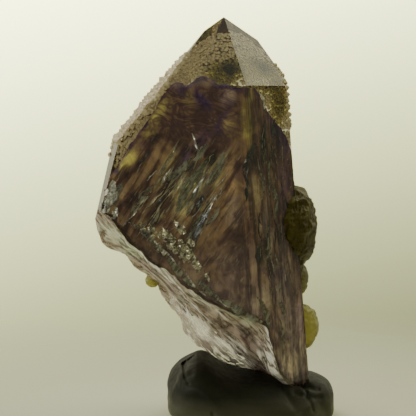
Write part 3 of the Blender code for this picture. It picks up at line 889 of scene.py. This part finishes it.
# Where silky fractures crowd, their films are crumpled and glitter: along the lower edge of the front, and in
# the left corner, which shines like silver. Middle x and height, radii, lean and depth, in mm.
CRUMPLES = {
    "glitter": (
        (-13.6, 31.2, 2.6, 1.4, 62, 0.3),
        (-10.9, 29.3, 2.4, 1.4, 60, 0.3),
        (-9.0, 27.2, 1.6, 0.9, 60, 0.3),
        (-11.8, 33.2, 1.8, 0.8, 50, 0.3),
        (-16.5, 32.4, 1.5, 0.8, 60, 0.3),
        (-15.1, 29.8, 1.9, 0.7, 58, 0.3),
        (-9.8, 30.8, 1.3, 0.7, 55, 0.3),
        (-18.0, 33.2, 1.1, 0.5, 60, 0.3),
        (-7.3, 25.4, 1.2, 0.5, 60, 0.3),
    ),
    "corner_silver": (
        (-23.6, 38.3, 1.3, 2.6, 26, 0.35),
        (-24.1, 36.6, 0.9, 2.2, 20, 0.35),
        (-22.7, 35.4, 0.8, 1.3, 10, 0.35),
    ),
}
CRUMPLE_GRAIN, CRUMPLE_HEIGHT = 0.25, 0.10  # mm
PLEAT, PLEAT_SLOPES = 1.3, (-0.14, 0.13)  # small steps in the films, each turned a little to the left and up


def add_crumple(bm, x, z, radius_x, radius_z, lean, depth, dice):
    """A crumpled sheet: a ragged oval grid, stepped in pleats, with every corner moved at random."""
    steps, rows = (max(4, round(2 * r / CRUMPLE_GRAIN)) for r in (radius_x, radius_z))
    sheet = bmesh.ops.create_grid(bm, x_segments=steps, y_segments=rows, size=0.5)
    turn = Matrix.Rotation(-math.radians(lean), 2)
    drop = []
    for v in sheet["verts"]:
        at = Vector((v.co.x * 2, v.co.y * 2))
        if at.length > 0.95 + 0.5 * noise.noise(Vector((at.x * 2, at.y * 2, x))):
            drop.append(v)
        jitter = [CRUMPLE_GRAIN * dice.uniform(-0.3, 0.3) for _ in range(2)]
        flat = turn @ Vector((at.x * radius_x, at.y * radius_z)) + Vector(jitter)
        place = under_front((x + flat.x) * MM, (z + flat.y) * MM, depth * MM)
        pleats = sum(slope * (c % PLEAT - PLEAT / 2) for slope, c in zip(PLEAT_SLOPES, flat))
        v.co = place + Vector((0, (pleats + dice.uniform(-1, 1) * CRUMPLE_HEIGHT) * MM, 0))
    bmesh.ops.delete(bm, geom=drop, context="VERTS")


crumple_finishes = {
    "glitter": film_finish("glitter_film", (0.92, 0.87, 0.64), 0.85, 0.3, 0.40),
    "corner_silver": film_finish("corner_film", (1.0, 1.0, 0.92), 0.7, 0.36, 0.20),
}
for name, sheets in CRUMPLES.items():
    bm = bmesh.new()
    for sheet in sheets:
        add_crumple(bm, *sheet, dice)
    crumpled = films_of(f"{name}_films", bm, crumple_finishes[name])
    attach(crumpled, "root")

# The needle: one thin black crystal of another mineral, which the quartz closed in as it grew. It lies just
# under the front face at the upper left, in front of the phantom.
NEEDLE_ENDS, NEEDLE_RADIUS, NEEDLE_DEPTH = ((-15.4, 48.8), (-16.5, 47.3)), 0.15 * MM, 0.25 * MM
NEEDLE_BLACK, NEEDLE_WORN = (0.002, 0.002, 0.001), (0.02, 0.018, 0.01)

start, end = (under_front(x * MM, z * MM, NEEDLE_DEPTH) for x, z in NEEDLE_ENDS)
bm = bmesh.new()
lay = Matrix.Translation((start + end) / 2) @ (end - start).to_track_quat("Z", "Y").to_matrix().to_4x4()
bmesh.ops.create_cone(
    bm,
    cap_ends=True,
    segments=6,
    radius1=NEEDLE_RADIUS,
    radius2=NEEDLE_RADIUS,
    depth=(end - start).length,
    matrix=lay,
)
needle_black, tree = new_finish("needle")
feed(tree, {"Base Color": mix(tree, grain(tree, 0.3), NEEDLE_BLACK, NEEDLE_WORN), "Roughness": 0.35})
needle = object_of("needle", bm, needle_black)
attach(needle, "root")

# The broken quartz is bruised: its hollows are silky, rose and clay-coloured, thin splinters stand half loose
# along their rims and look white, with painted highlights on them, and a few open cracks are dark. A few
# white patches low on the break are painted light, for light that shines through it. Its upper lip is smooth
# and greyish.
BRUISE_LIFT, BRUISE_THICKNESS = 0.03 * MM, 0.03 * MM
CREAM, SAGE, ROSE = (0.46, 0.40, 0.30, 0.7), (0.64, 0.67, 0.50, 0.85), (0.32, 0.235, 0.21, 0.7)
CLAY, SILVER = (0.27, 0.195, 0.14, 0.7), (0.80, 0.82, 0.70, 0.85)
# LIT_WHITE is painted light: white for light that shines through the break, and for highlights on the
# splinters of its rims.
LIT_WHITE, SHADE = (0.98, 0.96, 0.84, 0.35), (0.03, 0.035, 0.028, 0.95)
BREAK_ZONE_DEPTH, BREAK_LEAN = 40.0, -48
RIM_RAMPS = ((0.45, 0.4, 1.0), (0.5, 0.35, 0.8))  # of large and small hollows: start, reach and strength
BREAK_ZONES = (  # middle, half width and half height in mm, lean in degrees, colour with cover, strength
    (-23.4, 0.0, 31.6, 1.4, 2.6, -62, SAGE, 0.7),
    (-19.4, 0.0, 29.2, 1.3, 3.0, -58, SAGE, 1.0),
    (-15.0, 0.0, 26.9, 0.6, 3.0, -52, SILVER, 0.9),
    (-17.0, 0.0, 25.5, 0.7, 1.3, -50, ROSE, 0.8),
    (-15.3, 0.0, 22.4, 0.5, 2.6, -48, CREAM, 0.8),
    (-12.6, 0.0, 21.8, 1.3, 2.3, -45, ROSE, 0.9),
    (-13.3, 0.0, 23.3, 0.3, 1.2, -62, SHADE, 1.0),
    (-11.9, 0.0, 20.4, 0.4, 0.8, -45, SHADE, 0.9),
    (-10.2, 0.0, 16.7, 0.8, 3.3, -48, LIT_WHITE, 0.9),
    (-7.8, 0.0, 13.9, 1.0, 1.7, -48, LIT_WHITE, 0.9),
    (-9.0, 0.0, 19.4, 0.8, 2.1, -48, CLAY, 0.8),
    (-6.1, 0.0, 16.7, 1.0, 2.3, -52, CLAY, 0.7),
    (-7.1, 0.0, 20.1, 0.4, 3.3, -50, SILVER, 0.8),
    (-1.7, 0.0, 18.4, 0.6, 2.6, -62, SAGE, 0.9),
    (-0.8, 0.0, 14.6, 1.0, 2.5, -52, ROSE, 0.9),
    (-1.7, 0.0, 16.3, 0.2, 2.8, -48, SHADE, 0.9),
    (2.0, 0.0, 12.9, 0.2, 2.1, -45, SHADE, 0.8),
    (-3.7, 0.0, 11.9, 1.3, 3.0, -58, LIT_WHITE, 1.0),
    (-0.8, 0.0, 9.9, 0.8, 1.8, -58, LIT_WHITE, 1.0),
    (2.7, 0.0, 10.9, 1.0, 1.5, -45, CREAM, 0.7),
)


def bruise_finish():
    finish, tree = new_finish("bruise")
    silky = grain(tree, 0.9, 5, stretch=(1, 1, 4), turn=(0, BREAK_LEAN, 0), distortion=0.4)
    coarse = grain(tree, 4.0, 3, stretch=(1, 1, 3.5), turn=(0, BREAK_LEAN, 0), distortion=0.6)
    splinters = layers(tree, coarse, 0.07)
    lines = mix(tree, 0.4, splinters, spread(tree, silky, 0.34, 0.66))
    shade = mix(tree, lines, (0.6, 0.58, 0.56), (1.45, 1.45, 1.4))
    colour = mix(tree, 1.0, attribute(tree, "tone", "Color"), shade, "MULTIPLY")
    # The rims' white splinters, partly painted highlights.
    wear_and_highlight = calc(tree, "MULTIPLY", spread(tree, attribute(tree, "rim"), 0.72, 0.98), splinters)
    cover = calc(tree, "MULTIPLY", attribute(tree, "tone", "Alpha"), lines)
    cover = calc(tree, "MAXIMUM", cover, wear_and_highlight)
    inputs = {
        "Base Color": mix(tree, wear_and_highlight, colour, LIT_WHITE[:3]),
        "Alpha": spread(tree, cover, 0.08, 0.5, 0.03, 0.94),
        "Roughness": spread(tree, silky, 0.3, 0.7, 0.5, 0.2),
        "Specular IOR Level": 0.8,
    }
    feed(tree, inputs)
    bump(tree, lines, 0.12)
    return finish


bm = bmesh.new()
bm.from_mesh(crystal.data)
broken = bm.faces.layers.float["broken"]
bmesh.ops.delete(bm, geom=[f for f in bm.faces if f[broken] < 0.5], context="FACES")
for v, normal in [(v, v.normal.copy()) for v in bm.verts]:
    v.co += normal * BRUISE_LIFT
bmesh.ops.solidify(bm, geom=bm.faces[:], thickness=-BRUISE_THICKNESS)
bmesh.ops.recalc_face_normals(bm, faces=bm.faces)
bruise = object_of("bruised_break", bm)
rims = bruise.data.attributes.new("rim", "FLOAT", "POINT")
tones = bruise.data.attributes.new("tone", "FLOAT_COLOR", "POINT")
from_break = break_frame().inverted()
for v in bruise.data.vertices:
    at = from_break @ v.co
    heights = [shells(at.x, at.y, size, seed) for size, _, seed in SHELLS]
    rises = [share * ramp((h - low) / reach) for h, (low, reach, share) in zip(heights, RIM_RAMPS)]
    rims.data[v.index].value = max(rises)
    tone = Vector(CREAM).lerp(Vector(ROSE), 0.5 + 0.5 * noise.noise(v.co / (3 * MM)))
    tones.data[v.index].color = zoned(tone, v.co, BREAK_ZONES, BREAK_ZONE_DEPTH)
dress(bruise, bruise_finish())
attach(bruise, "root")

# Prehnite: yellow-green balls of fine blades that grew on the right flank, on the back of the break and lower
# down. The blades' ends make their surface serrated, and their growth bands show as fine arcs inside.
NODULE = ((9.1, 0.2, 15.8), (2.7, 2.9, 3.8))
SPECK = ((-17.0, 9.7, 22.5), (1.3, 1.2, 1.3))
RIDGE_DEPTH, SWELL_DEPTH, RIDGE_PITCH, SWELL_PITCH = 0.11, 0.07, Vector((2.1, 2.1, 5.5)), 1.7
BLADE_DEPTH, BLADE_PITCH = 0.045, Vector((7.0, 7.0, 3.0))
TOOTH_DEPTH, TOOTH_PITCH = 0.022, Vector((17.0, 17.0, 9.0))
PREHNITE_IOR, PREHNITE_GAP = 1.62, 0.04 * MM
BALL_DETAIL, LUMP_DETAIL, SPECK_DETAIL = 7, 6, 5
PREHNITE_GREEN, PREHNITE_BROWN, PREHNITE_LOW_YELLOW = (0.25, 0.215, 0.03), (0.045, 0.03, 0.006), (0.92, 0.89, 0.30)
PREHNITE_DEEP, PREHNITE_DENSITY, PREHNITE_GLOSS = (0.50, 0.44, 0.06), 520.0, (0.70, 0.62, 0.30)


def lump(name, middle, radii, seed, detail):
    """A prehnite lump: a ball with the low ridges and the teeth that the blades' ends make."""
    bm = bmesh.new()
    bmesh.ops.create_icosphere(bm, subdivisions=detail, radius=1.0)
    at = Vector((seed, 0, 0))
    for v in bm.verts:
        out = v.co.normalized()
        swells = SWELL_DEPTH * noise.noise(SWELL_PITCH * out + Vector((0, seed, 0)))
        ridges = RIDGE_DEPTH * abs(noise.noise(out * RIDGE_PITCH + at))
        blades = BLADE_DEPTH * abs(noise.noise(out * BLADE_PITCH + at))
        teeth = TOOTH_DEPTH * abs(noise.noise(out * TOOTH_PITCH + at))
        v.co = out * (1 + swells - ridges - blades + 0.5 * BLADE_DEPTH - teeth)
    bmesh.ops.transform(bm, matrix=Matrix.LocRotScale(mm(middle), None, mm(radii)), verts=bm.verts)
    return object_of(name, bm)


def prehnite_finish():
    finish, tree = new_finish("prehnite")
    place = add(tree, "ShaderNodeTexCoord").outputs["Object"]
    centre = add(tree, "ShaderNodeMapping", {"Location": -mm((4.2, 0, 33.0))}, {"Vector": place}).outputs[0]
    rings = add(
        tree,
        "ShaderNodeTexWave",
        {"Scale": 0.55 / MM, "Distortion": 1.4, "Detail": 2.0, "Detail Scale": 1.2},
        {"Vector": centre},
        wave_type="RINGS",
        rings_direction="SPHERICAL",
    )
    blotches = spread(tree, grain(tree, 1.4, 5), 0.35, 0.65)
    tint = mix(tree, blotches, PREHNITE_BROWN, PREHNITE_GREEN)
    colour = mix(tree, 0.3, tint, mix(tree, rings.outputs["Fac"], PREHNITE_BROWN, PREHNITE_GREEN))
    # The prehnite turns pale yellow towards the bottom.
    low_yellow = spread(tree, position(tree, "Z"), 26 * MM, 19 * MM, 0, 0.95)
    inputs = {
        "Base Color": mix(tree, low_yellow, colour, PREHNITE_LOW_YELLOW),
        "Roughness": spread(tree, blotches, 0, 1, 0.5, 0.34),
        "IOR": PREHNITE_IOR,
        "Specular IOR Level": 0.2,
        "Specular Tint": (*PREHNITE_GLOSS, 1.0),
        "Transmission Weight": 0.8,
    }
    feed(tree, inputs)
    absorb(tree, PREHNITE_DEEP, PREHNITE_DENSITY)
    bump(tree, grain(tree, 0.22, 4, stretch=(1, 1, 0.4)), 0.05)
    return finish


def crystal_room(name, grow):
    """The crystal without its druse, every face moved out by grow."""
    return combine(object_of(name, grown_crystal(grow)), [break_block(f"{name}_break", grow)], "DIFFERENCE")


def place_prehnite(piece, node):
    """Takes the crystal's room out of a lump and puts it in place of its node."""
    combine(piece, [crystal_room("room", PREHNITE_GAP)], "DIFFERENCE")
    dress(piece, prehnite_green, FINE_EDGE)
    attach(piece, "root")
    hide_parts(node)


prehnite_green = prehnite_finish()
ball, *others = [
    lump(f"lump_{name}", middle, radii, 3.0 * number, BALL_DETAIL if name == "ball" else LUMP_DETAIL)
    for number, (name, (middle, radii)) in enumerate(FLANK_LUMPS.items())
]
ball.name = "prehnite_ball"
place_prehnite(combine(ball, others, "UNION"), "prehnite_cluster")
place_prehnite(lump("prehnite_lower", *NODULE, 21.0, LUMP_DETAIL), "prehnite_nodule")
place_prehnite(lump("prehnite_at_back", *SPECK, 33.0, SPECK_DETAIL), "prehnite_speck")

# The putty: a lump of dark mounting putty, kneaded by hand, pressed flat on the surface below and round the
# crystal's foot above. Its skin is soft and a little greasy, with a few folds where it was pinched.
PUTTY_HALF_WIDTH, PUTTY_HALF_DEPTH = 14.2 * MM, 14.4 * MM
PUTTY_TOP = (  # x and height in mm, from left to right
    (-14.2, 11.0), (-13.2, 11.6), (-11.0, 11.7), (-9.0, 12.2), (-7.8, 12.0), (-6.8, 10.7),
    (-5.6, 9.4), (-3.7, 8.4), (-1.7, 7.9), (2.4, 7.5), (6.6, 7.2), (8.6, 7.7),
    (10.6, 8.6), (12.0, 9.3), (14.2, 9.3),
)
PUTTY_SOLE_Z, PUTTY_SQUARENESS, PUTTY_ROUNDING = -2.6 * MM, 0.78, 1.4 * MM
PUTTY_GAP = 0.05 * MM
DENT_DEPTH, DENT_PITCH = 0.05, 2.3
KNEAD_DEPTH, KNEAD_PITCH = 0.008, 5.0
FOLDS = (  # start and end as x and height on the front, and width and depth, in mm
    ((-11.6, 9.6), (-9.4, 11.4), 0.35, 0.5),
    ((-12.4, 7.4), (-10.0, 9.2), 0.5, 0.3),
    ((-6.3, 3.6), (-6.1, 1.2), 0.25, 0.35),
    ((6.2, 7.4), (11.4, 6.4), 0.3, 0.5),
    ((7.0, 6.2), (11.8, 5.2), 0.35, 0.35),
    ((5.4, 6.6), (7.4, 3.8), 0.5, 0.4),
    ((11.6, 4.6), (12.6, 2.0), 0.6, 0.3),
    ((-11.8, 10.2), (-10.2, 8.0), 0.3, 0.35),
    ((8.4, 7.6), (10.0, 3.6), 0.3, 0.35),
)
# PUTTY_FLOOR_BOUNCE is painted light: the paler colour that light bounced off the pale floor gives the
# putty's foot.
PUTTY_DARK, PUTTY_WORN, PUTTY_FLOOR_BOUNCE = (0.009, 0.0092, 0.0055), (0.014, 0.0145, 0.0085), (0.10, 0.102, 0.064)


def putty_height(x):
    """The height of the putty's top edge at x, with the corners of its line rounded off."""
    steps = range(-2, 3)
    return sum(between(x + 0.5 * step * PUTTY_ROUNDING, PUTTY_TOP) for step in steps) / len(steps)


def rounded(value):
    return math.copysign(abs(value) ** PUTTY_SQUARENESS, value)


def fold_depth(x, z):
    """How far the folds of the putty's front draw its skin in at x and z."""
    depth = 0.0
    for (x0, z0), (x1, z1), width, deep in FOLDS:
        start, along = Vector((x0, z0)) * MM, Vector((x1 - x0, z1 - z0)) * MM
        apart = Vector((x, z)) - start
        t = min(max(apart.dot(along) / along.length_squared, 0), 1)
        away = (apart - along * t).length / (width * MM)
        depth += deep * MM * math.exp(-away * away)
    return depth


bm = bmesh.new()
bmesh.ops.create_icosphere(bm, subdivisions=7, radius=1.0)
for v in bm.verts:
    x, y = rounded(v.co.x) * PUTTY_HALF_WIDTH, rounded(v.co.y) * PUTTY_HALF_DEPTH
    top = putty_height(x)
    middle = 0.5 * (top + PUTTY_SOLE_Z)
    dents = 1 + DENT_DEPTH * noise.noise(DENT_PITCH * v.co)
    dents += KNEAD_DEPTH * noise.noise(KNEAD_PITCH * v.co)
    out = v.co.normalized()
    z = middle + rounded(v.co.z) * (top - middle)
    if out.y < 0:
        y += fold_depth(x, z)
        z -= fold_depth(x, z) * max(out.z, 0)
    v.co = Vector((x * dents, y * dents, z))
cut_flat(bm, Vector((0, 0, -1)), Vector((0, 0, 0)))
bmesh.ops.recalc_face_normals(bm, faces=bm.faces)
putty_dark, tree = new_finish("putty")
# The putty's own worn patches.
wear_and_highlight = spread(tree, grain(tree, 3.0, 5), 0.4, 0.75)
# Painted reflected light: the putty is made paler towards the bottom, as if lit from the floor below.
floor_bounce = spread(tree, position(tree, "Z"), 6 * MM, 0.5 * MM)
inputs = {
    "Base Color": mix(tree, floor_bounce, mix(tree, wear_and_highlight, PUTTY_DARK, PUTTY_WORN), PUTTY_FLOOR_BOUNCE),
    "Roughness": spread(tree, grain(tree, 1.2, 4), 0.3, 0.7, 0.38, 0.6),
    "Specular IOR Level": 0.08,
}
feed(tree, inputs)
bump(tree, grain(tree, 0.35, 5), 0.03)
putty = object_of("putty_lump", bm)
combine(putty, [crystal_room("seat", PUTTY_GAP)], "DIFFERENCE")
dress(putty, putty_dark, FINE_EDGE)
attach(putty, "root")
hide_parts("putty")
bpy.data.objects.remove(carved)

# The floor is plain and pale, and fades into the backdrop's light. The backdrop is bright at the top and
# dimmer towards the floor. A large soft light stands above and behind, weaker ones at the left front and low
# at the left, and one at the upper right shines in the tip's front right face.
FLOOR_RADIUS, FLOOR_CLEAR, FLOOR_COLOUR = 160 * MM, 28 * MM, (0.44, 0.455, 0.32)
SKY_TINT, SKY_LEVEL, SKY_RISE, SKY_SLANT = (1.0, 1.05, 0.515), 0.90, 8.4, 0.25
SKY_LOW, SKY_HIGH = -0.22, 0.12
STUDIO_DIM, STUDIO_BRIGHT = (0.26, 0.255, 0.18), (1.15, 1.12, 0.78)

bm = bmesh.new()
bmesh.ops.create_circle(bm, cap_ends=True, segments=96, radius=FLOOR_RADIUS)
floor_finish, tree = new_finish("floor")
place = add(tree, "ShaderNodeTexCoord").outputs["Object"]
distance = add(tree, "ShaderNodeVectorMath", links={0: place}, operation="LENGTH").outputs["Value"]
fade = spread(tree, distance, FLOOR_CLEAR, 0.8 * FLOOR_RADIUS, 1, 0)
feed(tree, {"Base Color": (*FLOOR_COLOUR, 1), "Roughness": 0.6, "Alpha": fade})
floor = object_of("floor", bm, floor_finish)
floor.location.z = -0.02 * MM

world = bpy.data.worlds.new("studio")
bpy.context.scene.world = world
world.use_nodes = True
tree = world.node_tree
way = add(tree, "ShaderNodeSeparateXYZ", links={0: add(tree, "ShaderNodeTexCoord").outputs["Generated"]})
rise = calc(tree, "ADD", way.outputs["Z"], calc(tree, "MULTIPLY", way.outputs["X"], -SKY_SLANT))
dimmest, brightest = SKY_LEVEL + SKY_LOW * SKY_RISE, SKY_LEVEL + SKY_HIGH * SKY_RISE
glow = calc(tree, "EXPONENT", spread(tree, rise, SKY_LOW, SKY_HIGH, dimmest, brightest))
sky = add(tree, "ShaderNodeVectorMath", {0: SKY_TINT}, {"Scale": glow}, operation="SCALE").outputs[0]
backwards = spread(tree, way.outputs["Y"], -0.5, 1.0)
upwards = spread(tree, way.outputs["Z"], -0.3, 0.9)
lit = spread(tree, calc(tree, "ADD", backwards, upwards), 0.5, 1.7)
studio = mix(tree, lit, STUDIO_DIM, STUDIO_BRIGHT)
straight = add(tree, "ShaderNodeLightPath").outputs["Is Camera Ray"]
tree.links.new(mix(tree, straight, studio, sky), tree.nodes["Background"].inputs["Color"])


def soft_light(name, place, size, watts, colour):
    lamp = bpy.data.lights.new(name, "AREA")
    lamp.shape = "DISK"
    lamp.size = size
    lamp.energy = watts
    lamp.color = colour
    made = bpy.data.objects.new(name, lamp)
    made.location = place
    made.rotation_euler = (VIEW_MIDDLE - Vector(place)).to_track_quat("-Z", "Y").to_euler()
    made.visible_camera = False
    bpy.context.scene.collection.objects.link(made)


soft_light("top_light", (-0.10, 0.16, 0.34), 0.26, 0.9, (1.0, 0.98, 0.92))
soft_light("side_light", (-0.30, -0.16, 0.14), 0.16, 0.35, (1.0, 0.99, 0.95))
soft_light("low_light", (-0.24, 0.02, 0.035), 0.14, 0.18, (1.0, 0.99, 0.93))
soft_light("tip_light", (0.23, 0.08, 0.29), 0.30, 0.36, (1.0, 1.0, 0.72))
